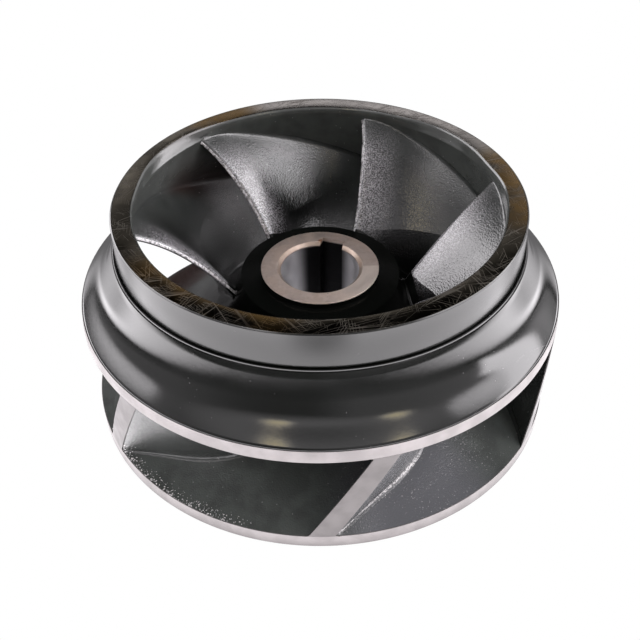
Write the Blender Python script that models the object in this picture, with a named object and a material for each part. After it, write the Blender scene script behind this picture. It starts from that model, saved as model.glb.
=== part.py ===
# Closed pump impeller with six swept vanes, standing on its back shroud.
# Metres, +Z up, origin on the shaft axis in the plane of the back face.
# A depth is measured down from the top of the eye ring, a level up from the back face.
# A share runs along a curve from the eye, 0.0, to the outlet, 1.0. A span runs from hub to shroud.

import math

import bmesh
import bpy
from mathutils import Matrix, Vector

# Driving dimensions.
OVERALL_HEIGHT = 0.1137
EYE_RING_RADIUS = 0.1000
EYE_BORE_RADIUS = 0.0903
EYE_RING_WALL = 0.0184
LEDGE_RADIUS = 0.10265
LEDGE_DEPTH = 0.0215
SHROUD_RIM_RADIUS = 0.1205
SHROUD_RIM_DEPTH = 0.0476
OUTLET_FRONT_RADIUS = 0.1210
OUTLET_FRONT_DEPTH = 0.0540
OUTLET_BACK_RADIUS = 0.1196
BACK_FACE_RADIUS = 0.1195
BACK_RIM_HEIGHT = 0.0072
HUB_FACE_RADIUS = 0.0300
HUB_FACE_DEPTH = 0.0415
SHAFT_BORE_RADIUS = 0.0200
BORE_CHAMFER = 0.0017
KEYWAY_WIDTH = 0.0120
KEYWAY_FLOOR = 0.0240
KEYWAY_AZIMUTH = math.radians(72.0)
VANE_COUNT = 6
LEADING_EDGE_THICKNESS = 0.0034
TRAILING_EDGE_THICKNESS = 0.0070

# Narrow seams between solids that the real wheel has cast in one.
SEAM = 0.0003
VANE_SEAM = 0.00035

# Turned profiles.
THROAT_DEPTH = 0.0010
EDGE_CHAMFER = 0.0006
GROOVE_FLOOR_RADIUS = 0.1004
HUB_COLLAR_HEIGHT = 0.0025
HUB_SPLIT_RADIUS = 0.0540
BACK_WALL = 0.0080
BACK_LAND_RADIUS = 0.1075
BOSS_RADIUS = 0.0330
BOSS_FILLET = 0.0040

# Control points (radius, depth) of the hollow outside of the front shroud, from the ledge to the rim.
SHROUD_CONTROLS = (
    (LEDGE_RADIUS, LEDGE_DEPTH),
    (0.1085, 0.0384),
    (0.1099, 0.0370),
    (SHROUD_RIM_RADIUS, SHROUD_RIM_DEPTH),
)

# Hub and back shroud: control points (radius, depth) of the curve that the water follows.
FLOOR_CONTROLS = ((0.0405, 0.0455), (0.0455, 0.0700), (0.0800, 0.0970), (0.1196, 0.1065))

# Camber of the vanes: wrap in degrees at stations (share, wrap), clockwise seen from the eye.
FIRST_VANE_AZIMUTH = 14.2
HUB_EDGE_LAG = 9.8
FLOOR_WRAP = ((0.0, 0.0), (0.35, 32.0), (0.69, 64.6), (0.85, 83.3), (1.0, 94.6))
THROAT_WRAP = ((0.0, 0.0), (0.29, 41.0), (0.60, 71.0), (0.80, 84.0), (1.0, 90.5))
LEAD_SHARE_ON_FLOOR = 0.12
LEAD_SHARE_ON_THROAT = 0.05
LEADING_EDGE_ARCH = 0.0053

# Fineness of the meshes.
TURNED_STEPS = 72
HUB_STEPS = 48
CURVE_STEPS = 12
NOSE_STEPS = 3
CAMBER_STEPS = 13
SPAN_STEPS = 5
SMALL_STEP = 0.01
SHARP_ANGLE = math.radians(32.0)

BLACK_COAT = (0.016, 0.017, 0.018)
DARK_IRON = (0.10, 0.09, 0.075)
HUB_IRON = (0.46, 0.39, 0.36)


def clear_scene():
    for item in list(bpy.data.objects):
        bpy.data.objects.remove(item, do_unlink=True)


def make_material(name, colour, roughness, metallic):
    material = bpy.data.materials.new(name)
    material.use_nodes = True
    shader = material.node_tree.nodes["Principled BSDF"]
    shader.inputs["Base Color"].default_value = (*colour, 1.0)
    shader.inputs["Roughness"].default_value = roughness
    shader.inputs["Metallic"].default_value = metallic
    return material


def add_object(name, vertices, faces, material):
    mesh = bpy.data.meshes.new(name)
    mesh.from_pydata(vertices, [], faces)
    mesh.materials.append(material)
    mesh.shade_smooth()
    mesh.set_sharp_from_angle(angle=SHARP_ANGLE)
    part = bpy.data.objects.new(name, mesh)
    bpy.context.scene.collection.objects.link(part)
    return part


def turned(name, profile, steps, material):
    """Turn a closed (radius, level) outline about +Z; it runs down its outer side."""
    count = len(profile)
    vertices = []
    for turn in range(steps):
        angle = 2.0 * math.pi * turn / steps
        for radius, level in profile:
            vertices.append((radius * math.cos(angle), radius * math.sin(angle), level))
    faces = []
    for turn in range(steps):
        here = turn * count
        there = ((turn + 1) % steps) * count
        for point in range(count):
            following = (point + 1) % count
            faces.append((here + point, here + following, there + following, there + point))
    return add_object(name, vertices, faces, material)


def level_of(depth):
    return OVERALL_HEIGHT - depth


def solve(function, target):
    """The share at which a rising function of it reaches the target."""
    low, high = 0.0, 1.0
    for _ in range(40):
        middle = 0.5 * (low + high)
        if function(middle) < target:
            low = middle
        else:
            high = middle
    return low


def bezier_point(controls, share):
    """(radius, level) on the cubic Bezier curve of four control points (radius, depth)."""
    rest = 1.0 - share
    weights = (rest ** 3, 3.0 * rest ** 2 * share, 3.0 * rest * share ** 2, share ** 3)
    radius = sum(weight * control[0] for weight, control in zip(weights, controls))
    depth = sum(weight * control[1] for weight, control in zip(weights, controls))
    return radius, level_of(depth)


def floor_point(share):
    """(radius, level) on the upper surface of the hub and the back shroud."""
    return bezier_point(FLOOR_CONTROLS, share)


def underside_point(share):
    """The floor curve moved by the wall thickness, square to the curve."""
    ahead = floor_point(share + SMALL_STEP)
    behind = floor_point(share - SMALL_STEP)
    run = ahead[0] - behind[0]
    fall = ahead[1] - behind[1]
    length = math.hypot(run, fall)
    radius, level = floor_point(share)
    return radius + BACK_WALL * fall / length, level - BACK_WALL * run / length


def throat_point(share):
    """(radius, level) on the inside of the front shroud, a quarter of an ellipse."""
    angle = share * math.pi / 2.0
    reach = OUTLET_FRONT_RADIUS - EYE_BORE_RADIUS
    drop = OUTLET_FRONT_DEPTH - THROAT_DEPTH
    return OUTLET_FRONT_RADIUS - reach * math.cos(angle), level_of(THROAT_DEPTH + drop * math.sin(angle))


def throat_share_at(level):
    return solve(lambda share: -throat_point(share)[1], -level)


def make_eye_ring(material):
    top = level_of(0.0)
    foot = level_of(EYE_RING_WALL)
    profile = [
        (EYE_RING_RADIUS - EDGE_CHAMFER, top),
        (EYE_RING_RADIUS, top - EDGE_CHAMFER),
        (EYE_RING_RADIUS, foot),
    ]
    last = throat_share_at(foot)
    first = throat_share_at(top - 3.0 * EDGE_CHAMFER)
    for step in range(4):
        profile.append(throat_point(last + (first - last) * step / 3.0))
    profile.append((EYE_BORE_RADIUS + EDGE_CHAMFER, top))
    return turned("eye_ring", profile, TURNED_STEPS, material)


def make_front_shroud(material):
    top = level_of(EYE_RING_WALL) - SEAM
    profile = [(GROOVE_FLOOR_RADIUS, top)]
    for step in range(CURVE_STEPS + 1):
        profile.append(bezier_point(SHROUD_CONTROLS, step / CURVE_STEPS))
    first = throat_share_at(top)
    for step in range(CURVE_STEPS + 1):
        profile.append(throat_point(1.0 - (1.0 - first) * step / CURVE_STEPS))
    return turned("front_shroud", profile, TURNED_STEPS, material)


def make_back_shroud(material):
    inner = HUB_SPLIT_RADIUS + SEAM
    first = solve(lambda share: floor_point(share)[0], inner)
    below_first = solve(lambda share: underside_point(share)[0], inner)
    below_last = solve(lambda share: underside_point(share)[0], BACK_LAND_RADIUS - BOSS_FILLET)
    profile = [(BACK_FACE_RADIUS, 0.0), (BACK_LAND_RADIUS, 0.0)]
    for step in range(CURVE_STEPS + 1):
        profile.append(underside_point(below_last + (below_first - below_last) * step / CURVE_STEPS))
    for step in range(CURVE_STEPS + 1):
        profile.append(floor_point(first + (1.0 - first) * step / CURVE_STEPS))
    return turned("back_shroud", profile, TURNED_STEPS, material)


def make_hub(material):
    face = level_of(HUB_FACE_DEPTH)
    last = solve(lambda share: floor_point(share)[0], HUB_SPLIT_RADIUS)
    below_last = solve(lambda share: underside_point(share)[0], HUB_SPLIT_RADIUS)
    recess_radius, recess_level = underside_point(below_last)
    profile = [(HUB_FACE_RADIUS, face), (HUB_FACE_RADIUS, face - HUB_COLLAR_HEIGHT)]
    for step in range(CURVE_STEPS // 2 + 1):
        profile.append(floor_point(last * 2.0 * step / CURVE_STEPS))
    profile += [
        (recess_radius, recess_level),
        (BOSS_RADIUS + BOSS_FILLET, recess_level + BOSS_FILLET),
        (BOSS_RADIUS, recess_level),
        (BOSS_RADIUS, 0.0),
        (SHAFT_BORE_RADIUS + BORE_CHAMFER, 0.0),
        (SHAFT_BORE_RADIUS, BORE_CHAMFER),
        (SHAFT_BORE_RADIUS, face - BORE_CHAMFER),
        (SHAFT_BORE_RADIUS + BORE_CHAMFER, face),
    ]
    hub = turned("hub", profile, HUB_STEPS, material)
    cut_keyway(hub)
    return hub


def cut_keyway(hub):
    """One parallel keyway along the whole bore."""
    shape = bmesh.new()
    bmesh.ops.create_cube(shape, size=1.0)
    size = Vector((KEYWAY_FLOOR, KEYWAY_WIDTH, 2.0 * OVERALL_HEIGHT))
    bmesh.ops.scale(shape, vec=size, verts=shape.verts)
    bmesh.ops.translate(shape, vec=Vector((KEYWAY_FLOOR / 2.0, 0.0, 0.0)), verts=shape.verts)
    shape.transform(Matrix.Rotation(KEYWAY_AZIMUTH, 4, "Z"))
    mesh = bpy.data.meshes.new("keyway_cutter")
    shape.to_mesh(mesh)
    shape.free()
    cutter = bpy.data.objects.new("keyway_cutter", mesh)
    cutter.hide_render = True
    cutter.display_type = "WIRE"
    bpy.context.scene.collection.objects.link(cutter)
    cut = hub.modifiers.new("keyway", "BOOLEAN")
    cut.operation = "DIFFERENCE"
    cut.solver = "EXACT"
    cut.object = cutter


def wrap_at(stations, share):
    """Smooth wrap through the stations, carried on straight before the first and after the last."""
    count = len(stations)
    slopes = []
    for index in range(count):
        before = stations[max(index - 1, 0)]
        after = stations[min(index + 1, count - 1)]
        slopes.append((after[1] - before[1]) / (after[0] - before[0]))
    if share <= stations[0][0]:
        return stations[0][1] + slopes[0] * (share - stations[0][0])
    if share >= stations[-1][0]:
        return stations[-1][1] + slopes[-1] * (share - stations[-1][0])
    index = max(number for number in range(count - 1) if stations[number][0] <= share)
    width = stations[index + 1][0] - stations[index][0]
    part = (share - stations[index][0]) / width
    start_weight = 2.0 * part ** 3 - 3.0 * part ** 2 + 1.0
    start_slope = (part ** 3 - 2.0 * part ** 2 + part) * width
    end_slope = (part ** 3 - part ** 2) * width
    value = start_weight * stations[index][1] + (1.0 - start_weight) * stations[index + 1][1]
    return value + start_slope * slopes[index] + end_slope * slopes[index + 1]


def carried_on(curve, lead, share):
    """A point between the lead and the outlet, carried on straight past the outlet."""
    if share <= 1.0:
        return curve(lead + (1.0 - lead) * share)
    end = curve(1.0)
    before = curve(1.0 - (1.0 - lead) * SMALL_STEP)
    ahead = (share - 1.0) / SMALL_STEP
    return end[0] + (end[0] - before[0]) * ahead, end[1] + (end[1] - before[1]) * ahead


def grid_point(span, share):
    """(radius, level) where a line across the channel is cut by a streamline."""
    floor = carried_on(floor_point, LEAD_SHARE_ON_FLOOR, share)
    throat = carried_on(throat_point, LEAD_SHARE_ON_THROAT, share)
    arch = LEADING_EDGE_ARCH * 4.0 * span * (1.0 - span) * (1.0 - min(share, 1.0)) ** 2
    radius = floor[0] + (throat[0] - floor[0]) * span
    return radius, floor[1] + (throat[1] - floor[1]) * span + arch


def grid_wrap(span, share):
    """Wrap in radians, with the lag of the leading edge at the hub."""
    floor = wrap_at(FLOOR_WRAP, share) + HUB_EDGE_LAG
    throat = wrap_at(THROAT_WRAP, share)
    return math.radians(floor + (throat - floor) * span)


def camber_step(span, share):
    """Run along the channel, sideways sweep and their length for a small step of share."""
    ahead = grid_point(span, share + SMALL_STEP)
    behind = grid_point(span, share - SMALL_STEP)
    run = math.hypot(ahead[0] - behind[0], ahead[1] - behind[1])
    sweep = grid_wrap(span, share + SMALL_STEP) - grid_wrap(span, share - SMALL_STEP)
    sideways = sweep * 0.5 * (ahead[0] + behind[0])
    return run, sideways, math.hypot(run, sideways)


def side_point(span, share, half_thickness, side):
    """Share and wrap of the point that lies half a thickness off the camber, square to it."""
    run, sideways, length = camber_step(span, share)
    along = side * half_thickness * sideways / length
    across = -side * half_thickness * run / length
    moved = share + along * 2.0 * SMALL_STEP / run
    return moved, grid_wrap(span, share) + across / grid_point(span, moved)[0]


def half_thickness_at(distance, length):
    nose = LEADING_EDGE_THICKNESS / 2.0
    if distance < nose:
        return math.sqrt(nose ** 2 - (nose - distance) ** 2)
    growth = (distance - nose) / (length - nose)
    return nose + (TRAILING_EDGE_THICKNESS / 2.0 - nose) * growth


def vane_side(span, side):
    """Points (share, wrap) along one side of the vane, from the nose to the outlet."""
    length = sum(camber_step(span, (step + 0.5) / 50.0)[2] for step in range(50))
    length /= 100.0 * SMALL_STEP
    per_share = camber_step(span, 0.0)[2] / (2.0 * SMALL_STEP)
    nose = LEADING_EDGE_THICKNESS / 2.0

    def at(share):
        distance = per_share * share if per_share * share < nose else nose + (length - nose) * share
        return side_point(span, share, half_thickness_at(distance, length), side)

    end = 1.2 * solve(lambda part: at(1.2 * part)[0], 1.0)
    first = nose / per_share
    shares = [first * (1.0 - math.cos(0.5 * math.pi * step / NOSE_STEPS)) for step in range(1, NOSE_STEPS + 1)]
    shares += [first + (end - first) * step / CAMBER_STEPS for step in range(1, CAMBER_STEPS + 1)]
    return [at(0.0)] + [at(share) for share in shares]


def make_vane(number, material):
    azimuth = math.radians(FIRST_VANE_AZIMUTH + 360.0 * number / VANE_COUNT)
    vertices = []
    for row in range(SPAN_STEPS + 1):
        span = row / SPAN_STEPS
        width = math.dist(grid_point(0.0, 0.5), grid_point(1.0, 0.5))
        seam = VANE_SEAM / width
        span = seam + (1.0 - 2.0 * seam) * span
        ahead = vane_side(span, 1.0)
        behind = vane_side(span, -1.0)
        for share, wrap in ahead[::-1] + behind[1:]:
            radius, level = grid_point(span, share)
            angle = azimuth - wrap
            vertices.append((radius * math.cos(angle), radius * math.sin(angle), level))
    ring = len(vertices) // (SPAN_STEPS + 1)
    faces = []
    for row in range(SPAN_STEPS):
        low = row * ring
        high = low + ring
        for point in range(ring):
            following = (point + 1) % ring
            faces.append((low + point, low + following, high + following, high + point))
    top = SPAN_STEPS * ring
    for point in range(ring // 2):
        mirror = ring - 1 - point
        corners = [point, point + 1, mirror - 1, mirror]
        if point + 1 == mirror - 1:
            corners = [point, point + 1, mirror]
        faces.append(tuple(corners[::-1]))
        faces.append(tuple(top + corner for corner in corners))
    return add_object(f"vane_{number + 1}", vertices, faces, material)


def main():
    clear_scene()
    coat = make_material("black_coat", BLACK_COAT, 0.35, 0.0)
    ring_iron = make_material("ring_iron", DARK_IRON, 0.20, 1.0)
    hub_iron = make_material("hub_iron", HUB_IRON, 0.40, 1.0)
    make_eye_ring(ring_iron)
    make_front_shroud(coat)
    make_back_shroud(coat)
    make_hub(hub_iron)
    for number in range(VANE_COUNT):
        make_vane(number, coat)


main()
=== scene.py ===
# Looks of the closed pump impeller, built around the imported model.
# Metres, +Z up, origin on the shaft axis in the plane of the back face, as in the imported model.
# A depth is measured down from the top of the eye ring, a level up from the back face.
# A share runs along a curve from the eye, 0.0, to the outlet, 1.0. A span runs from hub to shroud.

import math

import bmesh
import bpy
from mathutils import Matrix, Vector


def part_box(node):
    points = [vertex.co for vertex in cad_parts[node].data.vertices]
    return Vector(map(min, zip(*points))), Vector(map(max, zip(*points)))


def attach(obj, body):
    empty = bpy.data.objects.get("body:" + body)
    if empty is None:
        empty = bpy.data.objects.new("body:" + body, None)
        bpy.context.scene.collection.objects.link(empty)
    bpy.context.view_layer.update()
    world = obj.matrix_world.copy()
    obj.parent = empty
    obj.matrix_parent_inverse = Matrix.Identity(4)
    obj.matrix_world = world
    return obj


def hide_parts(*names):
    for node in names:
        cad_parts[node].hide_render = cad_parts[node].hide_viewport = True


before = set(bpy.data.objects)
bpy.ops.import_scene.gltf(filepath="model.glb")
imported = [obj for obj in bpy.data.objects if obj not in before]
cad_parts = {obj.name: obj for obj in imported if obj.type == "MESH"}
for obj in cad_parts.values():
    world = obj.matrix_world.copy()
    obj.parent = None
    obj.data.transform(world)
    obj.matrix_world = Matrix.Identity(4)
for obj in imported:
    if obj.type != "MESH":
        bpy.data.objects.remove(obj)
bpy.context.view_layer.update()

# Driving dimensions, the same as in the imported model.
OVERALL_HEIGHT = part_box("eye_ring")[1].z
EYE_RING_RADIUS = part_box("eye_ring")[1].x
EYE_BORE_RADIUS = 0.0903
EYE_RING_WALL = 0.0184
OUTLET_FRONT_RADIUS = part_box("front_shroud")[1].x
OUTLET_FRONT_DEPTH = 0.0540
OUTLET_BACK_RADIUS = 0.1196
BACK_FACE_RADIUS = 0.1195
BACK_RIM_HEIGHT = 0.0072
HUB_FACE_RADIUS = 0.0300
HUB_FACE_DEPTH = OVERALL_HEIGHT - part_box("hub")[1].z
SHAFT_BORE_RADIUS = 0.0200
BORE_CHAMFER = 0.0017
KEYWAY_WIDTH = 0.0120
KEYWAY_FLOOR = 0.0240
KEYWAY_AZIMUTH = math.radians(72.0)
VANE_COUNT = 6
LEADING_EDGE_THICKNESS = 0.0034
TRAILING_EDGE_THICKNESS = 0.0070
THROAT_DEPTH = 0.0010
EDGE_CHAMFER = 0.0006
GROOVE_FLOOR_RADIUS = 0.1004
HUB_COLLAR_HEIGHT = 0.0025
BACK_WALL = 0.0080
BACK_LAND_RADIUS = 0.1075
BOSS_RADIUS = 0.0330
BOSS_FILLET = 0.0040
LEDGE = (0.10265, 0.0215)
SHROUD_RIM_RADIUS = 0.1205
SHROUD_RIM_DEPTH = 0.0476
SHROUD_CONTROLS = (LEDGE, (0.1085, 0.0384), (0.1099, 0.0370), (SHROUD_RIM_RADIUS, SHROUD_RIM_DEPTH))
FLOOR_CONTROLS = ((0.0405, 0.0455), (0.0455, 0.0700), (0.0800, 0.0970), (0.1196, 0.1065))
FIRST_VANE_AZIMUTH = 14.2
HUB_EDGE_LAG = 9.8
FLOOR_WRAP = ((0.0, 0.0), (0.35, 32.0), (0.69, 64.6), (0.85, 83.3), (1.0, 94.6))
THROAT_WRAP = ((0.0, 0.0), (0.29, 41.0), (0.60, 71.0), (0.80, 84.0), (1.0, 90.5))
LEAD_SHARE_ON_FLOOR = 0.12
LEAD_SHARE_ON_THROAT = 0.05
LEADING_EDGE_ARCH = 0.0053

# Small forms that only the looks have. A breakout is (azimuth, spread, width), in degrees and metres.
TURNED_SKIN = 0.0004
CAP_HEIGHT = 0.0009
BROKEN_EDGE = 0.0003
HALF_BREAK = BROKEN_EDGE / 2.0
FINE_BREAK = BROKEN_EDGE / 3.0
CAST_EDGE = 0.0006
RELIEF_DEPTH = 0.0007
RING_WALL_INSIDE = EYE_RING_RADIUS - 3.0 * RELIEF_DEPTH
THROAT_CROWDING = 1.5
FILLET_AT_EYE = 0.0019
FILLET_AT_OUTLET = 0.0010
FOOT_DEPTH = 0.0003
LAND_SKIN = 0.0005
VANE_END_SHARE = 0.995
LIP = 0.0010
LIP_DEPTH = 0.0028
BREAKOUTS = ((147.0, 30.0, 0.0034), (41.0, 25.0, 0.0024), (5.0, 16.0, 0.0012))
BREAKOUT_DEPTH = 0.0054
HOOK = 0.0030
HOOK_LENGTH = 0.0150
HUB_FACE_SKIN = 0.0006

# Fineness of the meshes.
TURNED_STEPS = 360
CURVE_STEPS = 48
CORNER_STEPS = 4
NOSE_STEPS = 6
CAMBER_STEPS = 64
FILLET_STEPS = 7
SPAN_STEPS = 18
LAND_STEPS = 6
LENGTH_STEPS = 50
SMALL_STEP = 0.01
PAST_OUTLET = 1.2
SHARP_ANGLE = math.radians(38.0)

# Faces that take another coat: a painted highlight beside a vane's nose, and painted shade on its lowest rows
# and on the floor round the hub.
# There the coat changes at each row or share. A share below zero is the last of the hub's collar.
EDGE_FACES = 1
ROOT_FACES = 41
ROOT_ROWS = (4, 6, 8)
WELL_START = -0.1
WELL_SHARES = (0.36, 0.43, 0.50)

# Camera of the photograph.
CAMERA_PLACE = (0.0, -0.397269, 0.376341)
CAMERA_TARGET = (-0.000305, 0.0, 0.036032)
CAMERA_ROLL = math.radians(-0.7018)
CAMERA_LENS = 55.192

# Finishes. Colours are linear. A sector is (lowest azimuth, highest azimuth, softness) in degrees.
# A ramp is (start, end, value before the start, value past the end), here and for the floor and the lights.
MIDDLING = (0.30, 0.70)
HALFWAY = (0.35, 0.65)
COAT_REFRACTION = 1.55
VANE_REFRACTION = 1.62
# Refractions of the painted-shade coats, which reflect less nearer the hub.
WELL_REFRACTIONS = (1.18, 1.32, 1.45)
METAL_REFRACTION = 1.50
COAT_COLOUR = (0.0040, 0.0046, 0.0040)
COAT_MARK_COLOUR = (0.42, 0.40, 0.41)
THROAT_COLOUR = (0.058, 0.062, 0.058)
FLOOR_COLOUR = (0.062, 0.068, 0.064)
# Painted shade: the nearly black coat of the well round the hub and of the vane roots.
WELL_SHADE_COLOUR = (0.003, 0.0034, 0.003)
VANE_COLOUR = (0.030, 0.033, 0.031)
# Painted light: the cast coat's colour is multiplied by these factors in one sector, so that it looks lit.
PAINTED_LIGHT_GAIN = (1.5, 1.4, 1.6)
# Pale colour of real chips, of the pale foot line and of painted glints.
CHIP_AND_GLINT_COLOUR = (0.62, 0.60, 0.60)
RUST_COLOUR = (0.020, 0.0045, 0.0020)
# Painted highlight: the speckled band behind each vane's leading edge.
HIGHLIGHT_BAND_COLOUR = (0.34, 0.33, 0.345)
# Painted highlight: pale beads along the leading edges of the vanes.
EDGE_HIGHLIGHT_COLOUR = (0.80, 0.78, 0.79)
SAND_RADII = (0.060, 0.095)
SAND_HEIGHT = 0.001
SCRATCHED_SECTOR = (305.0, 332.0, 6.0)
SCRATCHED_RAMP = (0.066, 0.078, 1.0, 0.0)
SCUFFED_SECTOR = (238.0, 248.0, 4.0)
DUSTY_SECTOR = (276.0, 318.0, 8.0)
# Sector of that painted light in the cast coat.
PAINTED_LIGHT_SECTOR = (276.0, 312.0, 8.0)
STAIN_SECTOR = (116.0, 150.0, 7.0)
STAIN_RADII = (0.0930, 0.1190, 0.0040)
CHIP_SECTOR = (206.0, 251.0, 8.0)
CHIP_RADII = (0.1120, 0.1198)
ROUGH_FOOT_SECTOR = (262.0, 312.0, 5.0)
ROUGH_FOOT_RADII = (0.0900, 0.0960)
ROUGH_FOOT_HEIGHTS = (0.0003, 0.0030, 0.0005)
FLOOR_SLOPE = 0.33
# Where the painted highlight band lies: its width from the leading edge, and its fading at foot and head.
HIGHLIGHT_BAND_RAMP = (0.0006, 0.0270, 1.0, 0.0)
HIGHLIGHT_BAND_FOOT_RAMP = (0.054, 0.072, 0.0, 1.0)
HIGHLIGHT_BAND_HEAD_RAMP = (0.094, 0.108, 1.0, 0.10)
SWELL_LEVEL = 0.086
SWELL_HEIGHT = 0.022
SWELL_RAMP = (0.074, 0.094, 1.0, 0.0)
SWELL = 4.0
RING_DARK = (0.038, 0.033, 0.022)
RING_GREY = (0.112, 0.099, 0.074)
# Painted reflection: the colour of the cap towards its back.
RING_REFLECTION = (0.35, 0.33, 0.31)
RING_BROWN = (0.165, 0.100, 0.030)
RING_LINE = (0.36, 0.335, 0.30)
RING_BORDER_COLOUR = (0.01, 0.01, 0.008)
RING_BORDER_RAMPS = ((0.0903, 0.0910, 0.8, 0.0), (0.0988, 0.0992, 0.0, 0.8))
# Sector of the painted reflection on the ring cap, at its back.
REFLECTION_SECTOR = (30.0, 118.0, 25.0)
BROWN_SECTORS = ((345.0, 360.0, 6.0), (0.0, 24.0, 6.0), (212.0, 262.0, 6.0), (112.0, 134.0, 6.0))
HUB_WARM = (0.80, 0.68, 0.61)
HUB_DARK = (0.64, 0.53, 0.46)
# Painted highlight on the right side of the hub face.
HUB_HIGHLIGHT = (0.98, 0.88, 0.79)
HUB_CHAMFER = (0.26, 0.20, 0.16)
PIT_COLOUR = (0.10, 0.07, 0.06)
BURR_COLOUR = (0.42, 0.17, 0.06)
BURR_RAMP = (0.0008, 0.0022, 0.8, 0.0)
# Painted shade down the bore, and the highly reflective colour of the sectors where its reflections fall.
BORE_SHADE_COLOUR = (0.010, 0.010, 0.011)
BORE_REFLECTIVE_COLOUR = (0.95, 0.94, 0.96)
PITTED_SECTOR = (190.0, 350.0, 20.0)
# Sector of the painted highlight on the hub face.
HIGHLIGHT_SECTOR = (300.0, 400.0, 40.0)
REFLECTIVE_SECTORS = ((124.0, 215.0, 18.0), (-20.0, 44.0, 15.0), (320.0, 380.0, 8.0))
TURNED_COLOUR = (0.232, 0.219, 0.217)
NICK_COLOUR = (0.07, 0.06, 0.055)
# Painted shade: the vane ends take the turned iron at this share of its brightness.
LAND_SHADE = 0.56
STROKE_LENGTH = 60.0
FROM_EDGE = "from_edge"
PATCH_TURN = 13.0

# Studio floor, which glows. Radii and places in metres, glow as radiance.
# The BEHIND ramps run over a number that is -1.0 straight ahead of the object and 1.0 straight behind it.
FLOOR_RADIUS = 1.60
FLOOR_SEGMENTS = 128
GLOW_RAMP = (0.20, 0.34, 3.4, 6.2)
FAR_RAMP = (0.44, 0.96, 1.0, 0.0)
BEHIND_RAMP = (0.34, 0.70, 1.0, 0.14)
SHADE_AHEAD_PLACE = (0.0, -0.262, 0.0)
SHADE_AHEAD_RAMP = (0.02, 0.085, 0.40, 1.0)
COVERED_RAMP = (0.112, 0.126, 0.01, 1.0)
SIDE_SHADE_RAMP = (0.31, 0.42, 1.0, 0.0)
SIDE_SHADE_BEHIND_RAMP = (-0.10, 0.25, 0.0, 0.62)
BORE_GLOW_RAMP = (0.0060, 0.0180, 0.0, 1.5)

# Studio lights. A turn is measured from the camera's side, 0, to the side behind the object, 180, in degrees.
# Each light is (lowest turn, highest turn, lowest elevation, highest elevation, radiance).
RIGHT_LIGHT = (62.0, 119.0, 20.5, 62.0, 6.6)
LEFT_LIGHT = (-140.0, -80.0, 22.0, 45.0, 6.6)
SIDE_LIGHT = (77.0, 115.0, 5.4, 28.0, 9.0)
SIDE_TURN = 96.0
SIDE_SLOPE = 0.42
HIGH_LIGHT = (-74.0, -31.0, 51.0, 62.0, 5.5)
EDGE_SLOPE = 0.53
EDGE_RAMP = (-1.0, 1.0, -90.0, -10.0)
LIGHT_SOFTNESS = 3.5
TOP_LIGHT = 1.4
TOP_TURNS = (-80.0, 66.0)
TOP_RISE_RAMP = (22.0, 45.0, 0.0, 1.0)
TOP_FALL_RAMP = (41.0, 50.0, 1.0, 0.24)
WALL_AHEAD = 0.20
WALL_RIGHT_RAMPS = ((-7.0, 19.0, 0.0, 0.46), (20.0, 80.0, 0.0, 0.22), (104.0, 118.0, 0.0, 0.85))
WALL_LEFT_RAMP = (-78.0, -22.0, 0.68, WALL_AHEAD)
WALL_FOOT_RAMP = (-1.0, 7.0, 0.45, 1.0)
WALL_BEHIND_RAMP = (16.0, 24.0, 0.02, 0.95)
TURNED_AWAY_RAMP = (136.0, 154.0, 0.0, 1.0)
BLACK_RAMP = (47.0, 52.0, 0.0, 1.0)
BLACK_SLOPE = 0.80
BLACK_TURN = 92.0
BLACK_SOFTNESS = 4.0
BLACK_REACH = 20.0
OVERHEAD_RAMP = (62.0, 74.0, 0.0, 0.8)
PALE = (1.0, 1.0, 1.0)
LIGHT_COLOUR = (1.0, 0.970, 1.0)
LAMP_COLOUR = (1.0, 0.86, 0.55)
LAMPS = ((-22.0, 41.5), (36.0, 38.0))
LAMP_RAMP = (0.8, 4.0, 1.0, 0.0)
LAMP_WIDTH = 2.1
LAMP_RADIANCE = 6.0
QUARTER = 90.0
FULL_TURN = 360.0


def bezier_point(controls, share):
    """(radius, level) on the cubic Bezier curve of four control points (radius, depth)."""
    rest = 1.0 - share
    weights = (rest ** 3, 3.0 * rest ** 2 * share, 3.0 * rest * share ** 2, share ** 3)
    radius = sum(weight * control[0] for weight, control in zip(weights, controls))
    depth = sum(weight * control[1] for weight, control in zip(weights, controls))
    return radius, level_of(depth)


def level_of(depth):
    return OVERALL_HEIGHT - depth


def solve(function, target):
    """The share at which a rising function of it reaches the target."""
    low, high = 0.0, 1.0
    for _ in range(40):
        middle = 0.5 * (low + high)
        if function(middle) < target:
            low = middle
        else:
            high = middle
    return low


def traced(curve, start, end, steps):
    """Points of a curve between two shares."""
    return [curve(start + (end - start) * step / steps) for step in range(steps + 1)]


def floor_point(share):
    """(radius, level) on the upper surface of the hub and the back shroud."""
    return bezier_point(FLOOR_CONTROLS, share)


def underside_point(share):
    """The floor curve moved by the wall thickness, square to the curve."""
    ahead = floor_point(share + SMALL_STEP)
    behind = floor_point(share - SMALL_STEP)
    run = ahead[0] - behind[0]
    fall = ahead[1] - behind[1]
    length = math.hypot(run, fall)
    radius, level = floor_point(share)
    return radius + BACK_WALL * fall / length, level - BACK_WALL * run / length


def throat_point(share):
    """(radius, level) on the inside of the front shroud, a quarter of an ellipse."""
    angle = share * math.pi / 2.0
    reach = OUTLET_FRONT_RADIUS - EYE_BORE_RADIUS
    drop = OUTLET_FRONT_DEPTH - THROAT_DEPTH
    return OUTLET_FRONT_RADIUS - reach * math.cos(angle), level_of(THROAT_DEPTH + drop * math.sin(angle))


def lipped_throat_point(share):
    """The throat with the soft swelling of the casting just under its machined top."""
    radius, level = throat_point(share)
    depth = (level_of(0.0) - level) / LIP_DEPTH
    return radius - LIP * depth * math.exp(1.0 - depth), level


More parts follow.
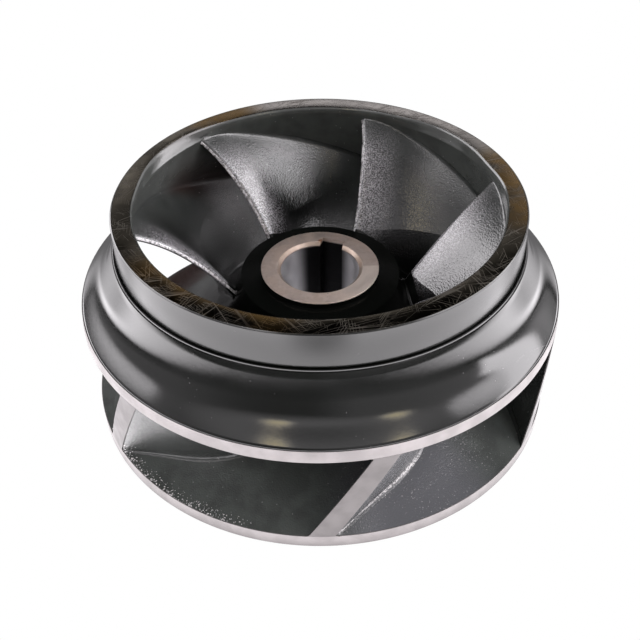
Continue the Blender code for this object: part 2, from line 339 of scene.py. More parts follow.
def rounded(corners):
    """A closed outline from (radius, level, rounding) corners, each rounded off by its last number."""
    outline = []
    count = len(corners)
    for index, (radius, level, rounding) in enumerate(corners):
        here = Vector((radius, level))
        if rounding == 0.0:
            outline.append(tuple(here))
            continue
        before = Vector(corners[index - 1][:2])
        after = Vector(corners[(index + 1) % count][:2])
        start = here + (before - here).normalized() * rounding
        end = here + (after - here).normalized() * rounding
        for part in traced(float, 0.0, 1.0, CORNER_STEPS):
            point = start * (1.0 - part) ** 2 + here * 2.0 * part * (1.0 - part) + end * part ** 2
            outline.append(tuple(point))
    return outline


def add_piece(name, vertices, faces, material, nodes):
    """A piece of the object that rides on the root body and stands for CAD nodes."""
    mesh = bpy.data.meshes.new(name)
    mesh.from_pydata(vertices, [], faces)
    mesh.materials.append(material)
    mesh.shade_smooth()
    mesh.set_sharp_from_angle(angle=SHARP_ANGLE)
    piece = add_object(name, mesh)
    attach(piece, "root")
    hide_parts(*nodes)
    return piece


def add_object(name, data):
    made = bpy.data.objects.new(name, data)
    bpy.context.scene.collection.objects.link(made)
    return made


def around(radius, angle, level):
    return radius * math.cos(angle), radius * math.sin(angle), level


def strips(rows, size, closed):
    """Faces from each row of points to the next, and back to the first row where they are closed."""
    faces = []
    for row in range(rows if closed else rows - 1):
        here = row * size
        there = (row + 1) % rows * size
        for point in range(size):
            following = (point + 1) % size
            faces.append((here + point, here + following, there + following, there + point))
    return faces


def turned(name, profile, material, slot, *nodes):
    """Turn a closed (radius, level) outline about +Z; it runs down its outer side."""
    vertices = []
    for turn in range(TURNED_STEPS):
        angle = 2.0 * math.pi * turn / TURNED_STEPS
        vertices += [around(radius, angle, level) for radius, level in profile]
    return add_piece(name, vertices, strips(TURNED_STEPS, len(profile), True), material, nodes)


def break_out(piece):
    """Widen the mouth of the throat where the cast lip runs out of the machined top."""
    for vertex in piece.data.vertices:
        radius = math.hypot(vertex.co.x, vertex.co.y)
        depth = level_of(0.0) - vertex.co.z
        if radius > EYE_BORE_RADIUS + 2.0 * BROKEN_EDGE or depth > BREAKOUT_DEPTH:
            continue
        azimuth = math.degrees(math.atan2(vertex.co.y, vertex.co.x))
        widening = 0.0
        for middle, spread, width in BREAKOUTS:
            away = min(abs(azimuth - middle) / spread, 1.0)
            widening += width * (1.0 - away ** 2) ** 2
        scale = 1.0 + widening * (1.0 - (depth / BREAKOUT_DEPTH) ** 2) / radius
        vertex.co.x *= scale
        vertex.co.y *= scale


def make_ring_cap(material):
    """The flat polished top of the eye ring."""
    top = level_of(0.0)
    foot = top - CAP_HEIGHT
    edge = EYE_RING_RADIUS - EDGE_CHAMFER
    corners = [
        (edge, top, FINE_BREAK),
        (edge, foot, 0.0),
        (EYE_BORE_RADIUS, foot, 0.0),
        (EYE_BORE_RADIUS, top, FINE_BREAK),
    ]
    break_out(turned("ring_cap", rounded(corners), material, "ring_iron", "eye_ring"))


def make_ring_wall(material):
    """The cylinder of the eye ring with its chamfer, which runs in the pump's wear ring."""
    top = level_of(0.0)
    foot = level_of(EYE_RING_WALL)
    corners = [
        (EYE_RING_RADIUS - EDGE_CHAMFER, top - FINE_BREAK, 0.0),
        (EYE_RING_RADIUS, top - EDGE_CHAMFER, HALF_BREAK),
        (EYE_RING_RADIUS, foot, BROKEN_EDGE),
        (EYE_RING_RADIUS - RELIEF_DEPTH, foot, 0.0),
        (RING_WALL_INSIDE, foot - RELIEF_DEPTH, 0.0),
        (RING_WALL_INSIDE, top - CAP_HEIGHT, 0.0),
        (EYE_RING_RADIUS - EDGE_CHAMFER, top - CAP_HEIGHT, 0.0),
    ]
    turned("ring_wall", rounded(corners), material, "ring_iron", "eye_ring")


def make_front_shell(smooth, cast):
    """The front shroud: relief under the ring and smooth hollow outside, cast throat inside."""
    relief = level_of(EYE_RING_WALL) - RELIEF_DEPTH
    ledge = relief + RELIEF_DEPTH / 2.0
    profile = rounded([
        (RING_WALL_INSIDE, relief, 0.0),
        (EYE_RING_RADIUS, relief, HALF_BREAK),
        (GROOVE_FLOOR_RADIUS, ledge, HALF_BREAK),
        (GROOVE_FLOOR_RADIUS + RELIEF_DEPTH, ledge, HALF_BREAK),
        (GROOVE_FLOOR_RADIUS + 1.2 * RELIEF_DEPTH, relief - RELIEF_DEPTH / 2.0, HALF_BREAK),
        (GROOVE_FLOOR_RADIUS + 2.0 * RELIEF_DEPTH, relief - 0.7 * RELIEF_DEPTH, 0.0),
    ])
    profile += traced(lambda share: bezier_point(SHROUD_CONTROLS, share), 0.0, 1.0, CURVE_STEPS)
    profile[-1] = (SHROUD_RIM_RADIUS - TURNED_SKIN, level_of(SHROUD_RIM_DEPTH))
    profile.append((OUTLET_FRONT_RADIUS - TURNED_SKIN, level_of(OUTLET_FRONT_DEPTH)))
    inside = len(profile) - 1
    last = 1.0 - TURNED_SKIN / (OUTLET_FRONT_RADIUS - EYE_BORE_RADIUS)
    crowded = traced(lambda part: last * part ** THROAT_CROWDING, 1.0, 0.0, 2 * CURVE_STEPS)
    profile += [lipped_throat_point(share) for share in crowded]
    profile += [
        (EYE_BORE_RADIUS, level_of(BROKEN_EDGE)),
        (EYE_BORE_RADIUS + BROKEN_EDGE, level_of(BROKEN_EDGE)),
        (EYE_BORE_RADIUS + BROKEN_EDGE, level_of(2.0 * CAP_HEIGHT)),
        (RING_WALL_INSIDE, level_of(2.0 * CAP_HEIGHT)),
    ]
    shell = turned("front_shell", profile, smooth, "black_coat", "front_shroud", "eye_ring")
    shell.data.materials.append(cast)
    for face in shell.data.polygons:
        if face.index % len(profile) >= inside:
            face.material_index = 1
    break_out(shell)


def make_front_rim_band(material):
    """The rim of the front shroud, turned bright."""
    corners = [
        (SHROUD_RIM_RADIUS, level_of(SHROUD_RIM_DEPTH), HALF_BREAK),
        (OUTLET_FRONT_RADIUS, level_of(OUTLET_FRONT_DEPTH), HALF_BREAK),
        (OUTLET_FRONT_RADIUS - 3.0 * TURNED_SKIN, level_of(OUTLET_FRONT_DEPTH), 0.0),
        (SHROUD_RIM_RADIUS - 3.0 * TURNED_SKIN, level_of(SHROUD_RIM_DEPTH) - TURNED_SKIN, 0.0),
    ]
    turned("front_rim_band", rounded(corners), material, "turned_iron", "front_shroud")


def make_back_rim_band(material):
    """The rim of the back shroud and the flat land under it, turned bright."""
    corners = [
        (OUTLET_BACK_RADIUS, BACK_RIM_HEIGHT, HALF_BREAK),
        (BACK_FACE_RADIUS, 0.0, BROKEN_EDGE),
        (BACK_LAND_RADIUS, 0.0, BROKEN_EDGE),
        (BACK_LAND_RADIUS, TURNED_SKIN, 0.0),
        (BACK_FACE_RADIUS - TURNED_SKIN, TURNED_SKIN, 0.0),
        (OUTLET_BACK_RADIUS - 2.0 * TURNED_SKIN, BACK_RIM_HEIGHT, 0.0),
    ]
    turned("back_rim_band", rounded(corners), material, "turned_iron", "back_shroud")


def make_back_shell(material, wells):
    """The cast hub and back shroud in one sweep, with the cored underside and painted shade, a nearly black
    coat, in the well round the hub.
    """
    below_last = solve(lambda share: underside_point(share)[0], BACK_LAND_RADIUS - BOSS_FILLET)
    below_first = solve(lambda share: underside_point(share)[0], BOSS_RADIUS + BOSS_FILLET)
    recess_level = underside_point(below_first)[1]
    skirt = level_of(HUB_FACE_DEPTH + HUB_COLLAR_HEIGHT)
    collar = level_of(HUB_FACE_DEPTH + HUB_FACE_SKIN)
    profile = [(OUTLET_BACK_RADIUS - TURNED_SKIN, BACK_RIM_HEIGHT)]
    profile += [(BACK_FACE_RADIUS - TURNED_SKIN, TURNED_SKIN / 2.0), (BACK_LAND_RADIUS, TURNED_SKIN / 2.0)]
    profile += traced(underside_point, below_last, below_first, CURVE_STEPS)
    profile += rounded([
        (BOSS_RADIUS, recess_level, 0.0),
        (BOSS_RADIUS, TURNED_SKIN, 0.0),
        (HUB_FACE_RADIUS - CAST_EDGE, TURNED_SKIN, 0.0),
        (HUB_FACE_RADIUS - CAST_EDGE, collar, 0.0),
        (HUB_FACE_RADIUS, collar, 0.0),
        (HUB_FACE_RADIUS, skirt, 2.0 * BROKEN_EDGE),
    ])
    last = 1.0 - TURNED_SKIN / (FLOOR_CONTROLS[3][0] - FLOOR_CONTROLS[2][0]) / 3.0
    profile += traced(floor_point, 0.0, last, 2 * CURVE_STEPS)
    shell = turned("back_shell", profile, material, "black_coat", "back_shroud", "hub")
    first = len(profile) - 2 * CURVE_STEPS - 1
    for well in wells:
        shell.data.materials.append(well)
    for face in shell.data.polygons:
        share = (face.index % len(profile) - first) / (2.0 * CURVE_STEPS)
        band = sum(share >= limit for limit in WELL_SHARES)
        if share > WELL_START and band < len(WELL_SHARES):
            face.material_index = 1 + band


def make_hub_sleeve(material):
    """The turned hub face, its collar, the keyed bore and the turned end of the boss."""
    face = level_of(HUB_FACE_DEPTH)
    sleeve_radius = HUB_FACE_RADIUS - 0.5 * CAST_EDGE
    corners = [
        (HUB_FACE_RADIUS, face, BROKEN_EDGE),
        (HUB_FACE_RADIUS, face - HUB_FACE_SKIN, 0.0),
        (sleeve_radius, face - HUB_FACE_SKIN, 0.0),
        (sleeve_radius, 2.0 * TURNED_SKIN, 0.0),
        (BOSS_RADIUS, 2.0 * TURNED_SKIN, 0.0),
        (BOSS_RADIUS, 0.0, BROKEN_EDGE),
        (SHAFT_BORE_RADIUS + BORE_CHAMFER, 0.0, BROKEN_EDGE),
        (SHAFT_BORE_RADIUS, BORE_CHAMFER, BROKEN_EDGE),
        (SHAFT_BORE_RADIUS, face - BORE_CHAMFER, BROKEN_EDGE),
        (SHAFT_BORE_RADIUS + BORE_CHAMFER, face, BROKEN_EDGE),
    ]
    cut_keyway(turned("hub_sleeve", rounded(corners), material, "hub_iron", "hub"))


def mesh_of(shape, name):
    mesh = bpy.data.meshes.new(name)
    shape.to_mesh(mesh)
    shape.free()
    return mesh


def cut_keyway(sleeve):
    """One parallel keyway along the whole bore."""
    shape = bmesh.new()
    size = Matrix.Diagonal((KEYWAY_FLOOR, KEYWAY_WIDTH, 2.0 * OVERALL_HEIGHT, 1.0))
    bmesh.ops.create_cube(shape, size=1.0, matrix=Matrix.Translation((KEYWAY_FLOOR / 2.0, 0.0, 0.0)) @ size)
    shape.transform(Matrix.Rotation(KEYWAY_AZIMUTH, 4, "Z"))
    cutter = add_object("keyway_cutter", mesh_of(shape, "keyway_cutter"))
    cut = sleeve.modifiers.new("keyway", "BOOLEAN")
    cut.operation = "DIFFERENCE"
    cut.solver = "EXACT"
    cut.object = cutter
    bpy.context.view_layer.update()
    evaluated = sleeve.evaluated_get(bpy.context.evaluated_depsgraph_get())
    finished = bpy.data.meshes.new_from_object(evaluated)
    finished.set_sharp_from_angle(angle=SHARP_ANGLE)
    sleeve.modifiers.clear()
    sleeve.data = finished
    bpy.data.objects.remove(cutter, do_unlink=True)


def wrap_at(stations, share):
    """Smooth wrap through the stations, carried on straight before the first and after the last."""
    shares, wraps = zip(*stations)
    last = len(stations) - 1
    slopes = []
    for index in range(last + 1):
        low, high = max(index - 1, 0), min(index + 1, last)
        slopes.append((wraps[high] - wraps[low]) / (shares[high] - shares[low]))
    held = min(max(share, shares[0]), shares[last])
    index = max(number for number in range(last) if shares[number] <= held)
    width = shares[index + 1] - shares[index]
    part = (held - shares[index]) / width
    start_weight = 2.0 * part ** 3 - 3.0 * part ** 2 + 1.0
    start_slope = (part ** 3 - 2.0 * part ** 2 + part) * width
    end_slope = (part ** 3 - part ** 2) * width
    value = start_weight * wraps[index] + (1.0 - start_weight) * wraps[index + 1]
    value += start_slope * slopes[index] + end_slope * slopes[index + 1]
    return value + slopes[0 if share < held else last] * (share - held)


def carried_on(curve, lead, share):
    """A point between the lead and the outlet, carried on straight past the outlet."""
    if share <= 1.0:
        return curve(lead + (1.0 - lead) * share)
    end = curve(1.0)
    before = curve(1.0 - (1.0 - lead) * SMALL_STEP)
    ahead = (share - 1.0) / SMALL_STEP
    return end[0] + (end[0] - before[0]) * ahead, end[1] + (end[1] - before[1]) * ahead


def grid_point(span, share):
    """(radius, level) where a line across the channel is cut by a streamline."""
    floor = carried_on(floor_point, LEAD_SHARE_ON_FLOOR, share)
    throat = carried_on(throat_point, LEAD_SHARE_ON_THROAT, share)
    arch = LEADING_EDGE_ARCH * 4.0 * span * (1.0 - span) * (1.0 - min(share, 1.0)) ** 2
    radius = floor[0] + (throat[0] - floor[0]) * span
    return radius, floor[1] + (throat[1] - floor[1]) * span + arch


def grid_wrap(span, share):
    """Wrap in radians, with the lag of the leading edge at the hub."""
    floor = wrap_at(FLOOR_WRAP, share) + HUB_EDGE_LAG
    throat = wrap_at(THROAT_WRAP, share)
    return math.radians(floor + (throat - floor) * span)


def camber_step(span, share):
    """Run along the channel, sideways sweep and their length for a small step of share."""
    ahead = grid_point(span, share + SMALL_STEP)
    behind = grid_point(span, share - SMALL_STEP)
    run = math.hypot(ahead[0] - behind[0], ahead[1] - behind[1])
    sweep = grid_wrap(span, share + SMALL_STEP) - grid_wrap(span, share - SMALL_STEP)
    sideways = sweep * 0.5 * (ahead[0] + behind[0])
    return run, sideways, math.hypot(run, sideways)


def side_point(span, share, half_thickness, side):
    """Share and wrap of the point that lies half a thickness off the camber, square to it."""
    run, sideways, length = camber_step(span, share)
    along = side * half_thickness * sideways / length
    across = -side * half_thickness * run / length
    moved = share + along * 2.0 * SMALL_STEP / run
    return moved, grid_wrap(span, share) + across / grid_point(span, moved)[0]


def fillet_radius(share):
    """Radius of the cast fillet at the foot and the head of a vane."""
    inside = min(max(1.0 - share, 0.0) * 5.0, 1.0)
    return FILLET_AT_OUTLET + (FILLET_AT_EYE - FILLET_AT_OUTLET) * inside


def row_place(row, share):
    """(span, extra half thickness) of one row of a vane, from its sunk foot to its sunk head."""
    width = math.dist(grid_point(0.0, share), grid_point(1.0, share))
    radius = fillet_radius(share)
    last = 2 * FILLET_STEPS + SPAN_STEPS
    near = min(row, last - row)
    distance, extra = -FOOT_DEPTH, radius
    if near > FILLET_STEPS:
        distance = radius + (width - 2.0 * radius) * (near - FILLET_STEPS) / SPAN_STEPS
        extra = 0.0
    elif near > 0:
        turn = 0.5 * math.pi * (near - 1) / (FILLET_STEPS - 1)
        distance = radius * (1.0 - math.cos(turn))
        extra = radius * (1.0 - math.sin(turn))
    span = distance / width
    return (span, extra) if near == row else (1.0 - span, extra)


def hook(distance, share):
    """Sideways bend of a vane at a distance behind its leading edge, fading towards the outlet."""
    ahead = max(1.0 - distance / HOOK_LENGTH, 0.0)
    return HOOK * (ahead ** 2 - 0.5 * max(1.0 - share, 0.0))


def vane_side(row, side, end_share):
    """Points (span, share, wrap) along one side of a vane, from the nose to the outlet."""
    middle_span = row_place(row, 0.5)[0]
    steps = [camber_step(middle_span, (step + 0.5) / LENGTH_STEPS)[2] for step in range(LENGTH_STEPS)]
    length = sum(steps) / (2.0 * SMALL_STEP * LENGTH_STEPS)
    per_share = camber_step(middle_span, 0.0)[2] / (2.0 * SMALL_STEP)
    nose = LEADING_EDGE_THICKNESS / 2.0
    growth = TRAILING_EDGE_THICKNESS / 2.0 - nose

    def at(share):
        span, extra = row_place(row, share)
        half = nose + growth * max(share, 0.0) + extra
        return (span, *side_point(span, share, half + side * hook(share * per_share, share), side))

    def at_nose(angle):
        span, extra = row_place(row, 0.0)
        full = nose + growth * nose / length + extra
        share = (nose - full * math.cos(angle)) / per_share
        bent = side * hook(max(share, 0.0) * per_share, 0.0)
        return (span, *side_point(span, share, full * math.sin(angle) + bent, side))

    end = PAST_OUTLET * solve(lambda part: at(PAST_OUTLET * part)[1], end_share)
    round_nose = traced(at_nose, 0.0, 0.5 * math.pi, NOSE_STEPS)[:-1]
    return round_nose + traced(at, nose / per_share, end, CAMBER_STEPS)


def vane_shape():
    """Rows of (radius, wrap, level) round one vane, from foot to head."""
    rows = []
    for row in range(2 * FILLET_STEPS + SPAN_STEPS + 1):
        ahead = vane_side(row, 1.0, VANE_END_SHARE)
        behind = vane_side(row, -1.0, VANE_END_SHARE)
        loop = []
        for span, share, wrap in ahead[::-1] + behind[1:]:
            radius, level = grid_point(span, share)
            loop.append((radius, wrap, level))
        rows.append(loop)
    return rows


def land_shape():
    """Rows of (radius, wrap, level) across the turned end of one vane, outside first, then inside."""
    rows = []
    for row in range(1, 2 * FILLET_STEPS + SPAN_STEPS):
        span = row_place(row, 1.0)[0]
        radius, level = grid_point(span, 1.0)
        first = vane_side(row, -1.0, 1.0)[-1][2]
        last = vane_side(row, 1.0, 1.0)[-1][2]
        loop = traced(lambda wrap: (radius, wrap, level), first, last, LAND_STEPS)
        loop += traced(lambda wrap: (radius - LAND_SKIN, wrap, level), last, first, LAND_STEPS)
        rows.append(loop)
    return rows


def lofted(name, rows, azimuth, material, slot, *nodes):
    """A closed body through rows of (radius, wrap, level) loops, with faces across both end loops."""
    ring = len(rows[0])
    top = (len(rows) - 1) * ring
    vertices = [around(radius, azimuth - wrap, level) for loop in rows for radius, wrap, level in loop]
    faces = strips(len(rows), ring, False)
    for point in range(ring // 2):
        mirror = ring - 1 - point
        corners = sorted({point, point + 1, mirror - 1, mirror})
        if len(corners) > 2:
            faces.append(corners[::-1])
            faces.append([top + corner for corner in corners])
    return add_piece(name, vertices, faces, material, nodes)


def grade_vane(vane, ring, edge_highlight, wells):
    """The painted highlight coat for the nose, in the middle of each loop, and ever darker coats of painted
    shade towards the root.
    """
    for material in (edge_highlight, *wells):
        vane.data.materials.append(material)
    for face in vane.data.polygons:
        row, point = divmod(face.index, ring)
        behind = abs(point - ring // 2)
        band = sum(row >= limit for limit in ROOT_ROWS)
        if behind <= EDGE_FACES:
            face.material_index = 1
        elif behind <= ROOT_FACES and band < len(ROOT_ROWS):
            face.material_index = 2 + band


def mark_edge(vane, ring):
    """Keep how far each point of a vane lies from its leading edge, for the painted highlight band in its
    coat.
    """
    vertices = vane.data.vertices
    marks = vane.data.attributes.new(FROM_EDGE, "FLOAT", "POINT")
    for vertex in vertices:
        nose = vertices[vertex.index // ring * ring + ring // 2]
        marks.data[vertex.index].value = (vertex.co - nose.co).length


def make_vanes(coat, edge_highlight, wells, bright):
    """Six cast vanes and the turned land at the outer end of each."""
    vane_rows = vane_shape()
    land_rows = land_shape()
    for number in range(VANE_COUNT):
        azimuth = math.radians(FIRST_VANE_AZIMUTH + FULL_TURN * number / VANE_COUNT)
        node = f"vane_{number + 1}"
        vane = lofted(f"cast_vane_{number + 1}", vane_rows, azimuth, coat, "black_coat", node)
        mark_edge(vane, len(vane_rows[0]))
        grade_vane(vane, len(vane_rows[0]), edge_highlight, wells)
        lofted(f"tip_land_{number + 1}", land_rows, azimuth, bright, "turned_iron", node)


def make_camera():
    data = bpy.data.cameras.new("camera")
    data.lens = CAMERA_LENS
    camera = add_object("camera", data)
    direction = Vector(CAMERA_TARGET) - Vector(CAMERA_PLACE)
    turn = direction.to_track_quat("-Z", "Y").to_matrix() @ Matrix.Rotation(CAMERA_ROLL, 3, "Z")
    camera.matrix_world = Matrix.Translation(CAMERA_PLACE) @ turn.to_4x4()
    bpy.context.scene.camera = camera


class Value:
    """The output of a shader node. It is added, multiplied and so on like a number, by further nodes."""

    def __init__(self, tree, socket):
        self.tree = tree
        self.socket = socket

    def __add__(self, other):
        return maths("ADD", self, other)

    def __sub__(self, other):
        return maths("SUBTRACT", self, other)

    def __rsub__(self, other):
        return maths("SUBTRACT", other, self)

    def __mul__(self, other):
        return maths("MULTIPLY", self, other)

    def __truediv__(self, other):
        return maths("DIVIDE", self, other)

    def __lt__(self, other):
        return maths("LESS_THAN", self, other)

    def __gt__(self, other):
        return maths("GREATER_THAN", self, other)

    def other(self, name):
        """Another output of the same node."""
        return Value(self.tree, self.socket.node.outputs[name])


def add_node(tree, kind, output, inputs=None, **settings):
    """One output of a new node; each input is a plain number, vector or colour, or another node's output."""
    made = tree.nodes.new(kind)
    for name, setting in settings.items():
        setattr(made, name, setting)
    for name, given in (inputs or {}).items():
        if isinstance(given, Value):
            tree.links.new(given.socket, made.inputs[name])
        else:
            made.inputs[name].default_value = given
    return Value(tree, made.outputs[output])


def maths(operation, *values):
    """A sum of numbers and nodes' outputs, with one output at least."""
    tree = next(value.tree for value in values if isinstance(value, Value))
    return add_node(tree, "ShaderNodeMath", 0, dict(enumerate(values)), operation=operation)


def vector_maths(operation, first, second=(0.0, 0.0, 0.0)):
    """A sum of two vectors, of which the first is a node's output."""
    output = "Value" if operation in ("LENGTH", "DISTANCE", "DOT_PRODUCT") else "Vector"
    return add_node(first.tree, "ShaderNodeVectorMath", output, {0: first, 1: second}, operation=operation)


def split(vector):
    """The three parts of a vector."""
    first = add_node(vector.tree, "ShaderNodeSeparateXYZ", "X", {0: vector})
    return first, first.other("Y"), first.other("Z")


def ranged(value, start, end, low=0.0, high=1.0):
    """The value mapped softly from start..end to low..high and held inside it."""
    inputs = {"Value": value, "From Min": start, "From Max": end, "To Min": low, "To Max": high}
    return add_node(value.tree, "ShaderNodeMapRange", "Result", inputs, interpolation_type="SMOOTHSTEP")


def window(value, low, high, softness):
    """1.0 between low and high, with soft borders."""
    opening = ranged(value, low - softness, low + softness)
    return opening * ranged(value, high - softness, high + softness, 1.0, 0.0)


def strongest(*values):
    """The highest of several values."""
    highest = values[0]
    for value in values[1:]:
        highest = maths("MAXIMUM", highest, value)
    return highest


def blend(amount, first, second):
    """The first colour turned into the second by the amount."""
    inputs = {0: amount}
    for place, colour in ((6, first), (7, second)):
        inputs[place] = colour if isinstance(colour, Value) else (*colour, 1.0)
    return add_node(amount.tree, "ShaderNodeMix", 2, inputs, data_type="RGBA")


def layered(colour, *layers):
    """The colour with others laid over it in turn, each by an amount."""
    for amount, cover in layers:
        colour = blend(amount, colour, cover)
    return colour


def shaded(colour, amount):
    return [amount * part for part in colour]


def noise(place, scale=1.0, detail=2.0):
    """Soft noise about 0.5; the scale is in waves a metre where the place is in metres."""
    inputs = {"Vector": place, "Scale": scale, "Detail": detail}
    return add_node(place.tree, "ShaderNodeTexNoise", "Fac", inputs)


def in_cells(place, turn, cell):
    """The place counted in cells of a size in metres, turned about +Z by an angle in degrees."""
    inputs = {"Vector": place, "Rotation": (0.0, 0.0, math.radians(turn)), "Scale": cell}
    return add_node(place.tree, "ShaderNodeMapping", "Vector", inputs, vector_type="TEXTURE")


def scratches(place, angles, pitch, width, patch, share):
    """Straight crossing strokes, each family only in its own patches; the share says how much is left.

    A stroke is where a noise with long cells passes its middle height.
    """
    families = []
    long_cell = (STROKE_LENGTH * pitch, pitch, STROKE_LENGTH * pitch)
    for number, angle in enumerate(angles):
        off = maths("ABSOLUTE", noise(in_cells(place, angle, long_cell), 1.0, 0.0) - 0.5)
        patches = noise(in_cells(place, angle + PATCH_TURN * number, patch), 1.0, 0.0)
        families.append(ranged(off, 0.0, width, 1.0, 0.0) * ranged(patches, 0.70 - share, 0.80 - share))
    return strongest(*families)


def flecks(place, spacing, size, share):
    """Small round flecks in a share of the cells of the spacing."""
    inputs = {"Vector": place, "Scale": 1.0 / spacing}
    cells = add_node(place.tree, "ShaderNodeTexVoronoi", "Distance", inputs)
    round_spot = ranged(cells, 0.4 * size / spacing, size / spacing, 1.0, 0.0)
    return round_spot * (split(cells.other("Color"))[0] < share)


def bumped(height, distance, normal=None):
    """The normal tilted by a height field; the distance in metres is the height of 1.0."""
    inputs = {"Height": height, "Distance": distance}
    if normal is not None:
        inputs["Normal"] = normal
    return add_node(height.tree, "ShaderNodeBump", "Normal", inputs)


class Finish:
    """A material being made, with the place of the surface about the shaft."""

    def __init__(self, name, refraction=COAT_REFRACTION, metallic=0.0):
        self.material = bpy.data.materials.new(name)
        self.material.use_nodes = True
        self.tree = self.material.node_tree
        self.shader = self.tree.nodes["Principled BSDF"]
        self.shader.inputs["Metallic"].default_value = metallic
        self.shader.inputs["IOR"].default_value = refraction
        self.place = add_node(self.tree, "ShaderNodeTexCoord", "Object")
        across, ahead, self.level = split(self.place)
        self.radius = vector_maths("LENGTH", vector_maths("MULTIPLY", self.place, (1.0, 1.0, 0.0)))
        turn = maths("DEGREES", maths("ARCTAN2", ahead, across))
        self.azimuth = maths("WRAP", turn, FULL_TURN, 0.0)

    def sectors(self, *borders):
        """1.0 in sectors (lowest azimuth, highest azimuth, softness) in degrees."""
        return strongest(*[window(self.azimuth, *border) for border in borders])

    def mottle(self, scale, detail, start, end, low=0.0, high=1.0):
        """Soft noise in waves a metre, mapped from start..end to low..high."""
        return ranged(noise(self.place, scale, detail), start, end, low, high)

    def lathe_marks(self, pitch):
        """Height of fine grooves round the shaft, which waver a little on the way round."""
        drift = vector_maths("MULTIPLY", self.place, (1.2, 1.2, 0.0))
        across = add_node(self.tree, "ShaderNodeCombineXYZ", 0, {0: self.radius, 2: self.level})
        spread = vector_maths("MULTIPLY", across, [1.0 / pitch] * 3)
        return noise(vector_maths("ADD", spread, drift), 1.0, 1.0)

    def grained(self, scale, detail, height, normal=None):
        """The normal tilted by soft noise."""
        return bumped(noise(self.place, scale, detail), height, normal)

    def finished(self, colour, roughness, normal):
        for name, value in (("Base Color", colour), ("Roughness", roughness), ("Normal", normal)):
            self.tree.links.new(value.socket, self.shader.inputs[name])
        return self.material


def smooth_coat():
    """Glossy black coat over machined or ground iron, with dust, faint waves and a few scratches."""
    finish = Finish("smooth_coat")
    place = finish.place
    scratched = finish.sectors(SCRATCHED_SECTOR)
    scuffed = finish.sectors(SCRATCHED_SECTOR, SCUFFED_SECTOR)
    lines = scratches(place, (42.0, 50.0), 0.0046, 0.008, (0.030, 0.006, 0.006), 0.12)
    lines = lines * scratched * ranged(finish.level, *SCRATCHED_RAMP)
    dust = flecks(place, 0.0034, 0.00032, 0.25)
    specks = flecks(place, 0.0022, 0.00032, 0.16) * scuffed
    marks = strongest(dust * 0.14, lines * 0.35, specks * 0.4)
    roughness = finish.mottle(40.0, 3.0, *MIDDLING, 0.10, 0.14) + marks * 0.25
    normal = finish.grained(1500.0, 1.0, 0.0000025, finish.grained(420.0, 2.0, 0.000010))
    return finish.finished(blend(marks, COAT_COLOUR, COAT_MARK_COLOUR), roughness, normal)


def ring_coat():
    """The coat on the turned wall of the eye ring, satin, with fine marks round it."""
    finish = Finish("ring_coat")
    dust = flecks(finish.place, 0.0030, 0.00035, 0.20) * 0.12
    roughness = finish.mottle(60.0, 3.0, *MIDDLING, 0.15, 0.21)
    normal = finish.grained(500.0, 2.0, 0.000006, bumped(finish.lathe_marks(0.0009), 0.000004))
    return finish.finished(blend(dust, COAT_COLOUR, COAT_MARK_COLOUR), roughness, normal)


def glints(finish):
    """Small painted glints all over, and fine dust in one sector."""
    dusty = finish.sectors(DUSTY_SECTOR) * finish.mottle(60.0, 1.0, 0.40, 0.60)
    dust = finish.mottle(1100.0, 1.0, 0.66, 0.74, 0.0, 0.40) * dusty
    return strongest(flecks(finish.place, 0.0024, 0.00036, 0.16) * 0.22, dust)


def rim_chips(finish):
    """Ragged chips in the coat along the back rim, in one sector."""
    edge = finish.sectors(CHIP_SECTOR) * ranged(finish.radius, *CHIP_RADII)
    edge = edge * (finish.level < 2.0 * BACK_RIM_HEIGHT)
    ragged = noise(finish.place, 1150.0, 3.0) + edge * 0.13
    return ranged(ragged, 0.70, 0.73) * ranged(edge, 0.0, 0.2)


def rough_foot(finish):
    """A rough pale line just above the floor of the passages, which is nearly a cone towards the outlet."""
    floor = (OUTLET_BACK_RADIUS - finish.radius) * FLOOR_SLOPE + BACK_RIM_HEIGHT
    line = window(finish.level - floor, *ROUGH_FOOT_HEIGHTS) * finish.sectors(ROUGH_FOOT_SECTOR)
    line = line * ranged(finish.radius, *ROUGH_FOOT_RADII)
    return line * finish.mottle(900.0, 2.0, 0.42, 0.58, 0.12, 0.85)


def painted_highlight_band(finish):
    """A painted highlight: the speckled band behind a vane's leading edge, less at foot and head."""
    from_edge = add_node(finish.tree, "ShaderNodeAttribute", "Fac", attribute_name=FROM_EDGE)
    highlight = ranged(from_edge, *HIGHLIGHT_BAND_RAMP) * finish.mottle(1500.0, 1.0, 0.36, 0.70, 0.10, 1.0)
    return highlight * ranged(finish.level, *HIGHLIGHT_BAND_FOOT_RAMP) * ranged(finish.level, *HIGHLIGHT_BAND_HEAD_RAMP)


def swell(finish):
    """Height of the soft bend low down on the inner part of a vane."""
    below = maths("MINIMUM", maths("MAXIMUM", SWELL_LEVEL - finish.level, 0.0), SWELL_HEIGHT)
    return maths("POWER", below, 2.0) * ranged(finish.radius, *SWELL_RAMP)


